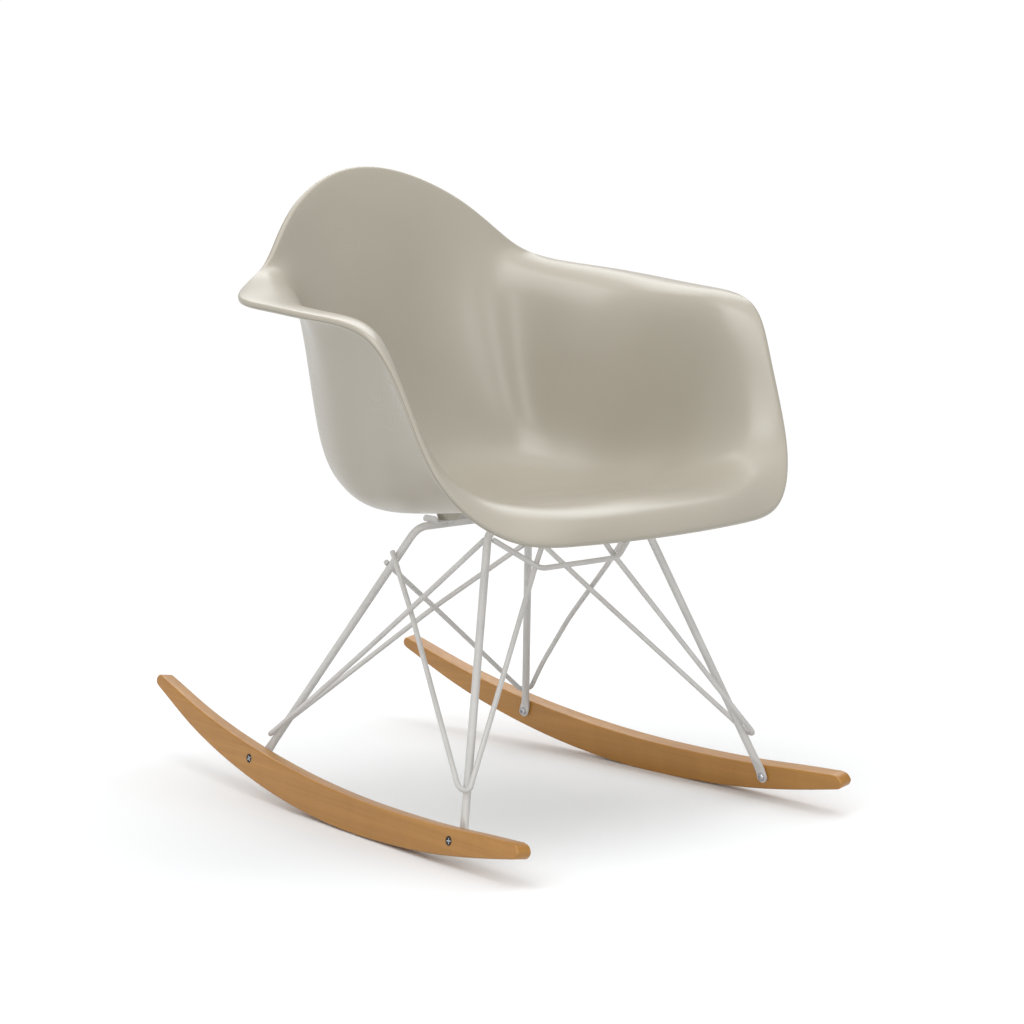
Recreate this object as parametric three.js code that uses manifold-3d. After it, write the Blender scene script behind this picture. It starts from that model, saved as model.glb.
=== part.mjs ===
// Rocking armchair: one-piece moulded seat shell on a bent-rod base with two wooden runners.
// Millimetres, +Z up. The chair faces -Y, and the sitter's left hand is at +X.
import * as THREE from 'three';
import { ParametricGeometry } from 'three/addons/geometries/ParametricGeometry.js';
import { NURBSCurve } from 'three/addons/curves/NURBSCurve.js';
import { mergeVertices } from 'three/addons/utils/BufferGeometryUtils.js';
import Module from 'manifold-3d';

const wasm = await Module();
wasm.setup();

// driving dimensions
const gap = 0.3;                 // clearance between neighbouring pieces
const halfTrack = 226;           // centre plane to a runner's inner face, at mid length
const datumHeight = 37.5;        // height of the runners' datum line over the floor
const runnerThick = 20;
const runnerRound = 2.2;         // rounding of the runners' long edges
const lean = 8.35;               // degrees, tops of the runners lean towards each other
const toeOut = 3.2;              // degrees, fronts of the runners spread apart
const soleCut = 1.3;             // height of the small flats the runners stand on
const boltReach = 207;           // bolt holes, ahead of and behind the middle
const boltRise = 9;              // the rear bolt is this much over the datum line, the front one under
const legRadius = 4.75;
const wireRadius = 3.2;
const shellWall = 5.5;
const rimBead = 8.5;             // thickness of the rounded rim
const plateWall = 2;
const frontRod = { y: -109, z: 357, x: 118 };   // level part of the front leg hoop
const rearRod = { y: 57, z: 338, x: 88.5 };     // level part of the rear leg hoop
const hoopBend = 15;             // how far before its corner each leg starts to bend
const mountX = 48;               // screw lines, out from the centre plane
const mountShift = 10.8;         // screw line ahead of its rod

// materials
const coat = (color, roughness, metalness) =>
  new THREE.MeshStandardMaterial({ color, roughness, metalness });
const looks = {
  shell: () => coat(0xb4afa4, 0.42, 0),
  frame: () => coat(0xc6c4c1, 0.35, 0.3),
  zinc: () => coat(0xa9aaac, 0.3, 0.9),
  dark: () => coat(0x24262a, 0.45, 0.6),
  wood: () => coat(0xa87c49, 0.5, 0),
};

const v3 = (x, y, z) => new THREE.Vector3(x, y, z);
const rad = THREE.MathUtils.degToRad;

// closed mesh with shared corners and no slivers, ready for the solid library
function weld(geometry) {
  const bare = geometry.index ? geometry.clone() : geometry;
  for (const name of ['normal', 'uv']) bare.deleteAttribute(name);
  const merged = mergeVertices(bare, 1e-3);
  const index = merged.index.array;
  const kept = [];
  for (let i = 0; i < index.length; i += 3) {
    const [a, b, c] = [index[i], index[i + 1], index[i + 2]];
    if (a !== b && b !== c && c !== a) kept.push(a, b, c);
  }
  merged.setIndex(kept);
  return merged;
}

function solid(geometry) {
  const mesh = weld(geometry);
  return new wasm.Manifold(new wasm.Mesh({
    numProp: 3,
    vertProperties: new Float32Array(mesh.attributes.position.array),
    triVerts: new Uint32Array(mesh.index.array),
  }));
}

function geometryOf(manifold) {
  const mesh = manifold.getMesh();
  const geometry = new THREE.BufferGeometry();
  geometry.setAttribute('position', new THREE.Float32BufferAttribute(mesh.vertProperties, 3));
  geometry.setIndex(Array.from(mesh.triVerts));
  return geometry;
}

// grid of closed rings, one ring per column, joined ring to ring; ends may shrink to a point
function skin(rings) {
  const columns = rings.length - 1;
  const rows = rings[0].length;
  return weld(new ParametricGeometry((u, v, target) => {
    target.copy(rings[Math.round(u * columns)][Math.round(v * rows) % rows]);
  }, columns, rows));
}

// turn the faces of a closed mesh outward if they point in
function outward(geometry) {
  const p = geometry.attributes.position;
  const index = geometry.index.array;
  const [a, b, c] = [v3(), v3(), v3()];
  let volume = 0;
  for (let i = 0; i < index.length; i += 3) {
    a.fromBufferAttribute(p, index[i]);
    b.fromBufferAttribute(p, index[i + 1]);
    c.fromBufferAttribute(p, index[i + 2]);
    volume += a.dot(b.cross(c));
  }
  if (volume < 0) geometry.setIndex(Array.from(index).reverse());
  return geometry;
}

// ---------- seat shell ----------

// One row per section, from the middle of the front edge round to the middle of the back:
// seat floor, start of the bend, wall, neck under the rim, rim flange, middle of the rim bead.
const seatMiddle = [0, -10, 371];
const sections = [
  [[0, -120, 383], [0, -180, 391], [0, -215, 398], [0, -247, 397], [0, -277, 386], [0, -287, 360]],
  [[75, -118, 383], [95, -175, 391], [110, -210, 398], [120, -240, 398], [129, -268, 387], [131, -277, 361]],
  [[110, -95, 381], [150, -140, 388], [180, -172, 403], [196, -202, 415], [210, -231, 403], [215, -252, 375]],
  [[120, -75, 378], [178, -103, 388], [212, -135, 416], [233, -165, 444], [249, -190, 450], [269, -208, 433]],
  [[130, -50, 375], [195, -75, 386], [225, -95, 430], [246, -115, 490], [262, -140, 530], [288, -162, 530]],
  [[130, -25, 371], [203, -40, 384], [229, -60, 440], [247, -80, 545], [265, -105, 600], [302, -116, 592]],
  [[130, 10, 366], [204, 0, 382], [224, -15, 450], [240, -25, 565], [262, -40, 620], [310, -35, 607]],
  [[120, 40, 363], [198, 45, 381], [212, 48, 450], [222, 52, 560], [250, 60, 628], [313, 50, 613]],
  [[100, 65, 363], [178, 92, 382], [187, 110, 460], [192, 122, 570], [216, 124, 645], [303, 119, 619]],
  [[75, 90, 364], [148, 135, 387], [153, 163, 470], [158, 178, 580], [182, 180, 650], [234, 185, 635]],
  [[45, 100, 366], [102, 155, 390], [108, 188, 480], [120, 205, 590], [150, 215, 655], [190, 211, 661]],
  [[20, 106, 367], [55, 167, 393], [56, 204, 485], [70, 224, 600], [92, 240, 680], [130, 243, 716]],
  [[10, 108, 367], [25, 170, 394], [27, 209, 486], [35, 230, 603], [44, 247, 695], [60, 266, 750]],
  [[0, 109, 367], [0, 171, 394], [0, 210, 486], [0, 231, 603], [0, 249, 700], [0, 273, 759]],
];

// screw positions: side +1 is the sitter's left
const mounts = [
  { name: 'front', rod: frontRod, rise: 14 },
  { name: 'rear', rod: rearRod, rise: 18 },
].flatMap(({ name, rod, rise }) => [['left', 1], ['right', -1]].map(([word, side]) => ({
  label: `${name}_${word}`,
  rise,
  x: side * mountX,
  y: rod.y - mountShift,
  plateTop: rod.z + legRadius + gap + plateWall,
})));

// upper face of the shell as columns of points from the seat's middle to the rim
function shellColumns(columns, rows) {
  const left = sections.slice(1, -1).reverse().map((row) => row.map(([x, y, z]) => [-x, y, z]));
  const ringCurves = sections[0].map((_, k) => new THREE.CatmullRomCurve3(
    [...sections, ...left].map((row) => v3(...row[k])), true, 'centripetal'));
  const knots = [0, 0, 0, 0, 0.25, 0.5, 0.75, 1, 1, 1, 1];
  const bead = rimBead / 2;
  return Array.from({ length: columns }, (_, i) => {
    const u = i / columns;
    const points = ringCurves.map((curve) => curve.getPoint(u));
    const rim = points[5];
    const out = rim.clone().sub(points[4]).normalize();
    const along = ringCurves[5].getPoint((u + 0.01) % 1)
      .sub(ringCurves[5].getPoint((u + 0.99) % 1));
    const up = out.clone().cross(along).normalize();
    rim.addScaledVector(out, -bead).addScaledVector(up, bead);
    const control = [v3(...seatMiddle), ...points].map((p) => new THREE.Vector4(p.x, p.y, p.z, 1));
    const curve = new NURBSCurve(3, knots, control);
    return Array.from({ length: rows + 1 }, (_, j) => curve.getPoint(j / rows));
  });
}

function seatShell() {
  const columns = 64;
  const rows = 20;
  const beadSteps = 4;
  const upper = shellColumns(columns, rows);
  const rings = upper.map((column, i) => {
    const before = upper[(i + columns - 1) % columns];
    const after = upper[(i + 1) % columns];
    const lower = column.map((p, j) => {
      if (j === 0) return v3(p.x, p.y, p.z - shellWall);
      const along = after[j].clone().sub(before[j]);
      const out = column[Math.min(j + 1, rows)].clone().sub(column[j - 1]);
      const blend = Math.max(0, (j / rows - 0.9) / 0.1) ** 2;
      const wall = shellWall + (rimBead - shellWall) * blend;
      return p.clone().addScaledVector(out.cross(along).normalize(), -wall);
    });
    const middle = column[rows].clone().add(lower[rows]).multiplyScalar(0.5);
    const half = column[rows].clone().sub(middle);
    const out = column[rows].clone().sub(column[rows - 1]).normalize().multiplyScalar(half.length());
    const nose = Array.from({ length: beadSteps - 1 }, (_, k) => {
      const turn = Math.PI * (k + 1) / beadSteps;
      return middle.clone().addScaledVector(half, Math.cos(turn)).addScaledVector(out, Math.sin(turn));
    });
    return [...column, ...nose, ...lower.reverse()];
  });
  const count = rings[0].length - 1;
  const sheet = weld(new ParametricGeometry((u, v, target) => {
    target.copy(rings[Math.round(u * columns) % columns][Math.round(v * count)]);
  }, columns, count));
  let body = solid(outward(sheet));
  for (const { x, y, plateTop, rise } of mounts) {
    const foot = plateTop + gap;
    const cone = new THREE.CylinderGeometry(23, 13.5, rise, 24).rotateX(Math.PI / 2);
    body = body.add(solid(cone.translate(x, y, foot + rise / 2)));
    const socket = new THREE.CylinderGeometry(4.8, 4.8, 10, 20).rotateX(Math.PI / 2);
    body = body.subtract(solid(socket.translate(x, y, foot + 4)));
  }
  return geometryOf(body);
}

// ---------- runners ----------

// frame of a runner: u runs outward from the inner face, v to the back, w up the board
function runnerFrame(side) {
  const [a, b] = [rad(lean), rad(toeOut)];
  const u = v3(side * Math.cos(a) * Math.cos(b), Math.cos(a) * Math.sin(b), Math.sin(a));
  const v = v3(-side * Math.sin(b), Math.cos(b), 0);
  const w = v3(-side * Math.sin(a) * Math.cos(b), -Math.sin(a) * Math.sin(b), Math.cos(a));
  return { u, v, w, origin: v3(side * halfTrack, 0, datumHeight) };
}

// point on a runner from its own frame
function onRunner(side, pu, pv, pw) {
  const f = runnerFrame(side);
  return f.origin.clone().addScaledVector(f.u, pu).addScaledVector(f.v, pv).addScaledVector(f.w, pw);
}

// matrix that takes x to the back, y up the board and z outward on the sitter's left
function runnerMatrix(side) {
  const f = runnerFrame(side);
  return new THREE.Matrix4().makeBasis(f.v, f.w, f.u).setPosition(f.origin);
}

const boltSpots = [
  { name: 'front', v: -boltReach, w: -boltRise },
  { name: 'rear', v: boltReach, w: boltRise },
];

// side outline of a runner: x to the back, y up
function runnerOutline() {
  const top = [[-318, 11.8], [-262, 9], [-193, 4.8], [-100, 2.7], [-4, 4.1], [98, 11], [206, 24.6],
    [320, 46.6], [424, 75]];
  const sole = [[430, 61], [340, 23.5], [222, -10.2], [112, -29.4], [8, -37.4], [-89, -36.2],
    [-181, -29.4], [-268, -16.4], [-318, -7]];
  const curve = (list) => new THREE.SplineCurve(list.map(([x, y]) => new THREE.Vector2(x, y)));
  const nose = [[-327.5, -4], [-331, 1.5], [-328, 8.3]];
  const tail = [[432, 76], [436.5, 71], [436, 65.5]];
  const points = [
    ...curve(top).getPoints(22),
    ...tail.map(([x, y]) => new THREE.Vector2(x, y)),
    ...curve(sole).getPoints(24),
    ...nose.map(([x, y]) => new THREE.Vector2(x, y)),
  ];
  return new THREE.Shape(points);
}

function runner(side) {
  const board = new THREE.ExtrudeGeometry(runnerOutline(), {
    depth: runnerThick - 2 * runnerRound,
    bevelThickness: runnerRound,
    bevelSize: runnerRound,
    bevelOffset: -runnerRound,
    bevelSegments: 3,
  }).translate(0, 0, runnerRound);
  let body = solid(board);
  for (const spot of boltSpots) {
    const drill = (radius, from, to) => solid(new THREE.CylinderGeometry(radius, radius, to - from, 20)
      .rotateX(Math.PI / 2).translate(spot.v, spot.w, (from + to) / 2));
    body = body.subtract(drill(3.5, -1, 8));
    body = body.subtract(drill(4.2, 5, 19));
    body = body.subtract(drill(5.1, 17, 21));
  }
  const placed = outward(geometryOf(body).applyMatrix4(runnerMatrix(side)));
  const floor = new THREE.BoxGeometry(200, 1000, 40).translate(side * halfTrack, 0, soleCut - 20);
  return geometryOf(solid(placed).subtract(solid(floor)));
}

// ---------- rods ----------

// straight runs joined by round bends; each bend starts "ease" before its corner
function bentPath(corners, eases, steps = 5) {
  const points = [corners[0].clone()];
  for (let i = 1; i < corners.length - 1; i++) {
    const ease = eases[i - 1];
    const start = corners[i].clone().lerp(corners[i - 1], ease / corners[i].distanceTo(corners[i - 1]));
    const end = corners[i].clone().lerp(corners[i + 1], ease / corners[i].distanceTo(corners[i + 1]));
    points.push(...new THREE.QuadraticBezierCurve3(start, corners[i], end).getPoints(steps));
  }
  points.push(corners.at(-1).clone());
  return points;
}

// cross sections along a path: sizes gives half-width and half-thickness at each point
function sectionRings(points, sizes, sides, firstNormal) {
  const tangent = points.map((p, i) => points[Math.min(i + 1, points.length - 1)].clone()
    .sub(points[Math.max(i - 1, 0)]).normalize());
  let normal = firstNormal ?? (Math.abs(tangent[0].z) < 0.9 ? v3(0, 0, 1) : v3(1, 0, 0));
  return points.map((p, i) => {
    normal = normal.clone().addScaledVector(tangent[i], -normal.dot(tangent[i])).normalize();
    const across = tangent[i].clone().cross(normal);
    const [wide, thick] = sizes(i);
    return Array.from({ length: sides }, (_, k) => {
      const angle = 2 * Math.PI * k / sides;
      return p.clone().addScaledVector(across, wide * Math.cos(angle))
        .addScaledVector(normal, thick * Math.sin(angle));
    });
  });
}

// closed rod from its cross sections, with a flat cap on each end
function rodFrom(rings) {
  const cap = (ring) => {
    const middle = ring.reduce((sum, p) => sum.add(p), v3(0, 0, 0)).divideScalar(ring.length);
    return ring.map(() => middle.clone());
  };
  return outward(skin([cap(rings[0]), ...rings, cap(rings.at(-1))]));
}

const roundRod = (points, radius, sides = 8) =>
  rodFrom(sectionRings(points, () => [radius, radius], sides));

// a leg hoop: flattened eye, leg, bend, level rod, and the same mirrored
function legHoop(level, spot) {
  const face = runnerFrame(1);
  const eyeOffset = -(gap + 2.1);
  const bolt = onRunner(1, eyeOffset, spot.v, spot.w);
  const bend = v3(level.x, level.y, level.z);
  const upLeg = bend.clone().sub(bolt);
  upLeg.addScaledVector(face.u, -upLeg.dot(face.u)).normalize();
  const heel = bolt.clone().addScaledVector(upLeg, 9);
  const toe = bolt.clone().addScaledVector(upLeg, -8);
  const legLength = heel.distanceTo(bend);
  const onLeg = (d) => heel.clone().lerp(bend, d / legLength);
  const half = [toe, bolt.clone().addScaledVector(upLeg, -4), bolt, heel, onLeg(6), onLeg(12), onLeg(19),
    onLeg(100), onLeg(190)];
  const sizes = [[4.5, 2], [7, 2], [7.5, 2], [6.5, 2], [5.7, 2.9], [5.1, 3.9]];
  half.push(...bentPath([onLeg(200), bend, v3(0, level.y, level.z)], [hoopBend]).slice(1));
  const rings = sectionRings(half, (i) => sizes[i] ?? [legRadius, legRadius], 12, face.u);
  const mirrored = rings.slice(0, -1).reverse().map((ring) => ring.map((p) => v3(-p.x, p.y, p.z)));
  let hoop = solid(rodFrom([...rings, ...mirrored]));
  for (const side of [1, -1]) {
    const hole = new THREE.CylinderGeometry(3.4, 3.4, 12, 20).rotateX(Math.PI / 2)
      .translate(spot.v, spot.w, -3);
    hoop = hoop.subtract(solid(outward(weld(hole.applyMatrix4(runnerMatrix(side))))));
  }
  return geometryOf(hoop);
}

// V brace at a front leg: up to the rear leg, round the foot of its own leg, up under the seat
function frontBrace(side) {
  const corners = [[110.3, 78.5, 308], [139.8, 6.2, 247], [227, -185, 83.8], [226.4, -203, 81.4],
    [61.5, -127.3, 311.4], [31.5, -117.6, 357]];
  return roundRod(bentPath(corners.map(([x, y, z]) => v3(side * x, y, z)), [20, 9, 7.4, 12]), wireRadius);
}

// V brace at a rear leg: up to the front leg, round the foot of its own leg, up to the far rear leg
function rearBrace(side) {
  const cross = side > 0 ? -4.3 : 4.3;
  const corners = [[119.8, -105.1, 346], [141, -28.5, 276.5], [162.5, 64.5, 196], [191, 149, 119.5],
    [210.7, 192.8, 79.2], [202.4, 204, 76.1], [117, 174, 136.5], [0, 133.5 + cross, 217], [-105, 91.8, 289],
    [-112, 88.8, 294.5]];
  return roundRod(bentPath(corners.map(([x, y, z]) => v3(side * x, y, z)),
    [20, 25, 20, 7, 6.5, 20, 20, 2], 4), wireRadius);
}

function frontStretcher() {
  const right = [[115.8, -114.8, 346.5], [61, -136, 309.3]];
  const corners = [...right, ...right.slice().reverse().map(([x, y, z]) => [-x, y, z])];
  return roundRod(bentPath(corners.map(([x, y, z]) => v3(x, y, z)), [9, 9]), wireRadius);
}

// ---------- fittings ----------

// pressed bracket: base plate with a turned-up tab at each end and a screw hole
function bracket({ x, y, plateTop }) {
  const halfLength = 27;
  const tabRise = 7;
  const profile = new THREE.Shape();
  profile.moveTo(-halfLength, 0).lineTo(halfLength, 0).lineTo(halfLength, plateWall + tabRise)
    .lineTo(halfLength - plateWall, plateWall + tabRise).lineTo(halfLength - plateWall, plateWall)
    .lineTo(plateWall - halfLength, plateWall).lineTo(plateWall - halfLength, plateWall + tabRise)
    .lineTo(-halfLength, plateWall + tabRise).closePath();
  const depth = 26;
  const plate = new THREE.ExtrudeGeometry(profile, { depth, bevelEnabled: false })
    .rotateX(Math.PI / 2).translate(x, y + 17, plateTop - plateWall);
  const hole = new THREE.CylinderGeometry(3.3, 3.3, 10, 20).rotateX(Math.PI / 2)
    .translate(x, y, plateTop);
  return geometryOf(solid(plate).subtract(solid(hole)));
}

// domed screw along +Z from its head's underside, with a hexagon socket
function domedScrew(headRadius, headHeight, shankRadius, shankLength) {
  const dome = [[0, -headHeight], [headRadius * 0.55, -headHeight * 0.92],
    [headRadius * 0.88, -headHeight * 0.55], [headRadius, -0.5], [headRadius, 0], [shankRadius, 0],
    [shankRadius, shankLength - 0.8], [shankRadius - 0.8, shankLength], [0, shankLength]];
  const body = new THREE.LatheGeometry(dome.map(([r, h]) => new THREE.Vector2(r, h)), 20)
    .rotateX(Math.PI / 2);
  const key = new THREE.CylinderGeometry(2, 2, 3, 6).rotateX(Math.PI / 2).translate(0, 0, -headHeight);
  return solid(body).subtract(solid(key));
}

function bracketScrew({ x, y, plateTop }) {
  const screw = geometryOf(domedScrew(5.2, 3.4, 2.5, 11));
  return screw.translate(x, y, plateTop - plateWall - gap);
}

function threadedInsert({ x, y, plateTop }) {
  const profile = [[2.9, 0], [4.5, 0], [4.5, 8], [2.9, 8], [2.9, 0]];
  const tube = new THREE.LatheGeometry(profile.map(([r, h]) => new THREE.Vector2(r, h)), 20)
    .rotateX(Math.PI / 2);
  return outward(weld(tube.translate(x, y, plateTop + gap + 0.4)));
}

// button-head bolt through a leg's eye into the runner, head towards the middle of the chair
function runnerBolt(side, spot) {
  const bolt = geometryOf(domedScrew(5.2, 3.2, 3, 19));
  const seat = -(gap + 4.2 + gap);
  return outward(bolt.translate(spot.v, spot.w, seat).applyMatrix4(runnerMatrix(side)));
}

// blackened sleeve nut let into the runner's outer face, with a cross recess
function sleeveNut(side, spot) {
  const profile = [[3.35, 7], [3.9, 7], [3.9, 17.3], [4.8, 17.3], [4.8, 19.7], [4.4, 20], [0, 20],
    [0, 16.5], [3.35, 16.5], [3.35, 7]];
  const body = new THREE.LatheGeometry(profile.map(([r, h]) => new THREE.Vector2(r, h)), 20)
    .rotateX(Math.PI / 2);
  let nut = solid(outward(weld(body)));
  for (const [wide, high] of [[1.3, 6], [6, 1.3]]) {
    nut = nut.subtract(solid(new THREE.BoxGeometry(wide, high, 3).translate(0, 0, 20)));
  }
  return outward(geometryOf(nut).translate(spot.v, spot.w, 0).applyMatrix4(runnerMatrix(side)));
}

// ---------- assembly ----------

const chair = new THREE.Group();

function addPiece(name, geometry, look) {
  geometry.computeVertexNormals();
  const mesh = new THREE.Mesh(geometry, looks[look]());
  mesh.name = name;
  chair.add(mesh);
}

addPiece('seat_shell', seatShell(), 'shell');
for (const mount of mounts) {
  addPiece(`insert_${mount.label}`, threadedInsert(mount), 'zinc');
  addPiece(`bracket_${mount.label}`, bracket(mount), 'frame');
  addPiece(`bracket_screw_${mount.label}`, bracketScrew(mount), 'zinc');
}
addPiece('leg_hoop_front', legHoop(frontRod, boltSpots[0]), 'frame');
addPiece('leg_hoop_rear', legHoop(rearRod, boltSpots[1]), 'frame');
addPiece('front_stretcher', frontStretcher(), 'frame');
for (const [word, side] of [['left', 1], ['right', -1]]) {
  addPiece(`front_brace_${word}`, frontBrace(side), 'frame');
  addPiece(`rear_brace_${word}`, rearBrace(side), 'frame');
  addPiece(`runner_${word}`, runner(side), 'wood');
  for (const spot of boltSpots) {
    addPiece(`runner_bolt_${spot.name}_${word}`, runnerBolt(side, spot), 'zinc');
    addPiece(`sleeve_nut_${spot.name}_${word}`, sleeveNut(side, spot), 'dark');
  }
}

// stand the chair on the floor with the origin under the middle of its bounding box
const box = new THREE.Box3().setFromObject(chair);
for (const mesh of chair.children) {
  mesh.position.set(0, -(box.min.y + box.max.y) / 2, -box.min.z);
}

export default chair;
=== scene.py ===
import bpy
import bmesh
import math
import numpy as np
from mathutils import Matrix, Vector


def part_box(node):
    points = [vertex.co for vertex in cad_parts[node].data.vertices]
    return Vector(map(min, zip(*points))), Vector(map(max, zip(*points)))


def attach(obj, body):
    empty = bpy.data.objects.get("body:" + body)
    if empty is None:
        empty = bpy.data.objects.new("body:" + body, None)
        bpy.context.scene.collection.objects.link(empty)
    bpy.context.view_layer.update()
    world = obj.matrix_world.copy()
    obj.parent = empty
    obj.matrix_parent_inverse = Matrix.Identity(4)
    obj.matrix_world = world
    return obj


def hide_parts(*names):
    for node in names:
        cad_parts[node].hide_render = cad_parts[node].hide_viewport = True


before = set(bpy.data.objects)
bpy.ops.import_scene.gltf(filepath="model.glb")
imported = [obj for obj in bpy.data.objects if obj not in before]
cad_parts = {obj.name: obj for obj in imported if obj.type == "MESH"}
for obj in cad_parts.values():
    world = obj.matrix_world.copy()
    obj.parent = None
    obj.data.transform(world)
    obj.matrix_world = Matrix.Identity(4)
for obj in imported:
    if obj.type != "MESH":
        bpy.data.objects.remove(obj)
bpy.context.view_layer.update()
print("frame loaded:", len(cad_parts), "nodes")

# drawing sizes below are millimetres measured from the middle of the runners' datum line;
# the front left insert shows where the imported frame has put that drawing
insertLow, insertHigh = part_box("insert_front_left")
insertInDrawing = (48, -119.8, 364.75)   # middle of its foot
drawingShift = np.array([0, (insertLow.y + insertHigh.y) * 500 - insertInDrawing[1],
                         insertLow.z * 1000 - insertInDrawing[2]])


def toFrame(points):
    return (np.asarray(points, float) + drawingShift) / 1000


def unit(v):
    v = np.asarray(v, float)
    return v / np.linalg.norm(v, axis=-1, keepdims=True)


def smoothStep(x):
    x = np.clip(x, 0, 1)
    return x * x * (3 - 2 * x)


# mesh helpers

def addMesh(name, points, faces, edges=()):
    mesh = bpy.data.meshes.new(name)
    mesh.from_pydata([tuple(p) for p in points], [tuple(e) for e in edges], [tuple(f) for f in faces])
    mesh.update()
    piece = bpy.data.objects.new(name, mesh)
    bpy.context.scene.collection.objects.link(piece)
    return piece


def cleanMesh(piece, doubles=1e-6, creaseAngle=None):
    shape = bmesh.new()
    shape.from_mesh(piece.data)
    bmesh.ops.remove_doubles(shape, verts=shape.verts, dist=doubles)
    bmesh.ops.recalc_face_normals(shape, faces=shape.faces)
    for face in shape.faces:
        face.smooth = True
    if creaseAngle:
        for edge in shape.edges:
            if len(edge.link_faces) == 2 and edge.calc_face_angle(0) > math.radians(creaseAngle):
                edge.smooth = False
    shape.to_mesh(piece.data)
    shape.free()
    piece.data.update()
    return piece


# skin over rings of points, each end capped with a fan
def ringSkin(rings):
    count, sides = len(rings), len(rings[0])
    points = [p for ring in rings for p in ring]
    faces = []
    for i in range(count - 1):
        for k in range(sides):
            a, b = i * sides + k, i * sides + (k + 1) % sides
            faces.append((a, b, b + sides, a + sides))
    for start in (0, (count - 1) * sides):
        middle = len(points)
        points.append(np.mean(rings[start // sides], axis=0))
        faces += [(start + k, start + (k + 1) % sides, middle) for k in range(sides)]
    return points, faces


def frozen(piece):
    # the evaluated result as a plain mesh, with its modifiers gone
    view = bpy.context.evaluated_depsgraph_get()
    made = bpy.data.meshes.new_from_object(piece.evaluated_get(view), depsgraph=view)
    name = piece.name
    old = piece.data
    piece.modifiers.clear()
    piece.data = made
    made.name = name
    if old.users == 0:
        bpy.data.meshes.remove(old)
    return piece


def cutWith(piece, tool, operation="DIFFERENCE"):
    step = piece.modifiers.new("cut", "BOOLEAN")
    step.operation = operation
    step.solver = "EXACT"
    step.object = tool
    frozen(piece)
    bpy.data.objects.remove(tool)
    return piece


def finishPiece(piece, material, slot, *nodes):
    piece.data.materials.clear()
    piece.data.materials.append(material)
    for face in piece.data.polygons:
        face.material_index = 0
    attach(piece, "root")
    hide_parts(*nodes)
    return piece


# materials

def srgb(red, green, blue):
    return tuple(((c / 255 + 0.055) / 1.055) ** 2.4 if c > 10 else c / 3294.6
                 for c in (red, green, blue)) + (1,)


class Finish:
    def __init__(self, name, **sockets):
        self.material = bpy.data.materials.new(name)
        self.material.use_nodes = True
        self.tree = self.material.node_tree
        self.surface = self.tree.nodes["Principled BSDF"]
        for socket, value in sockets.items():
            self.surface.inputs[socket.replace("_", " ")].default_value = value
        self.place = self.node("ShaderNodeTexCoord").outputs["Object"]

    def node(self, kind, **sockets):
        made = self.tree.nodes.new(kind)
        for socket, value in sockets.items():
            self.feed(made.inputs[socket.replace("_", " ")], value)
        return made

    def feed(self, socket, value):
        if isinstance(value, bpy.types.NodeSocket):
            self.tree.links.new(value, socket)
        else:
            socket.default_value = value

    def mapped(self, scale, source=None):
        mapping = self.node("ShaderNodeMapping", Vector=source or self.place)
        mapping.inputs["Scale"].default_value = scale
        return mapping.outputs["Vector"]

    def noise(self, scale, detail=3.0, roughness=0.5, vector=None, distortion=0.0):
        return self.node("ShaderNodeTexNoise", Vector=vector or self.place, Scale=scale, Detail=detail,
                         Roughness=roughness, Distortion=distortion).outputs["Fac"]

    def spread(self, value, low, high, start=0.3, end=0.7):
        made = self.node("ShaderNodeMapRange", Value=value)
        for socket, number in zip(("From Min", "From Max", "To Min", "To Max"), (start, end, low, high)):
            made.inputs[socket].default_value = number
        return made.outputs["Result"]

    def blendColours(self, factor, first, second):
        made = self.tree.nodes.new("ShaderNodeMix")
        made.data_type = "RGBA"
        self.feed(made.inputs[0], factor)
        self.feed(made.inputs[6], first)
        self.feed(made.inputs[7], second)
        return made.outputs[2]

    def bump(self, height, strength, distance, normal=None):
        made = self.node("ShaderNodeBump", Height=height, Strength=strength, Distance=distance)
        if normal:
            self.feed(made.inputs["Normal"], normal)
        return made.outputs["Normal"]

    def use(self, **sockets):
        for socket, value in sockets.items():
            self.feed(self.surface.inputs[socket.replace("_", " ")], value)
        return self.material


# fine line where the two halves of the mould met, along the outside of the rim: a shallow bump groove
# whose colour is darkened as painted shade; millimetres on "beadReach", which is "edge" at the bead's
# upper edge and "above" or "below" away from the bead
shellSeam = {"reach": 17.5, "halfWidth": 0.75, "edge": 10, "above": -40.0, "below": 60.0}


def mouldedPlastic():
    look = Finish("mouldedPlastic", IOR=1.5)
    cloud = look.noise(5.5, 2)                       # slow drift of the colour over the moulding
    tone = look.blendColours(cloud, srgb(156, 150, 137), srgb(170, 164, 151))
    handled = look.noise(9, 2, 0.5)                   # faint rub marks change the gloss, not the colour
    seam = look.node("ShaderNodeAttribute")
    seam.attribute_name = "beadReach"
    offSeam = look.node("ShaderNodeMath", Value=seam.outputs["Fac"])
    offSeam.operation = "SUBTRACT"
    offSeam.inputs[1].default_value = shellSeam["reach"]
    aside = look.node("ShaderNodeMath", Value=offSeam.outputs[0])
    aside.operation = "ABSOLUTE"
    seamDipAndShade = look.spread(aside.outputs[0], 0, 1, 0.1, shellSeam["halfWidth"])
    # painted shade: the colour is darkened along the seam groove to stand for the shade inside it
    tone = look.blendColours(seamDipAndShade, srgb(132, 126, 113), tone)
    return look.use(Base_Color=tone, Roughness=look.spread(handled, 0.24, 0.36, 0, 1),
                    Normal=look.bump(seamDipAndShade, 0.5, 0.0003))


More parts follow.
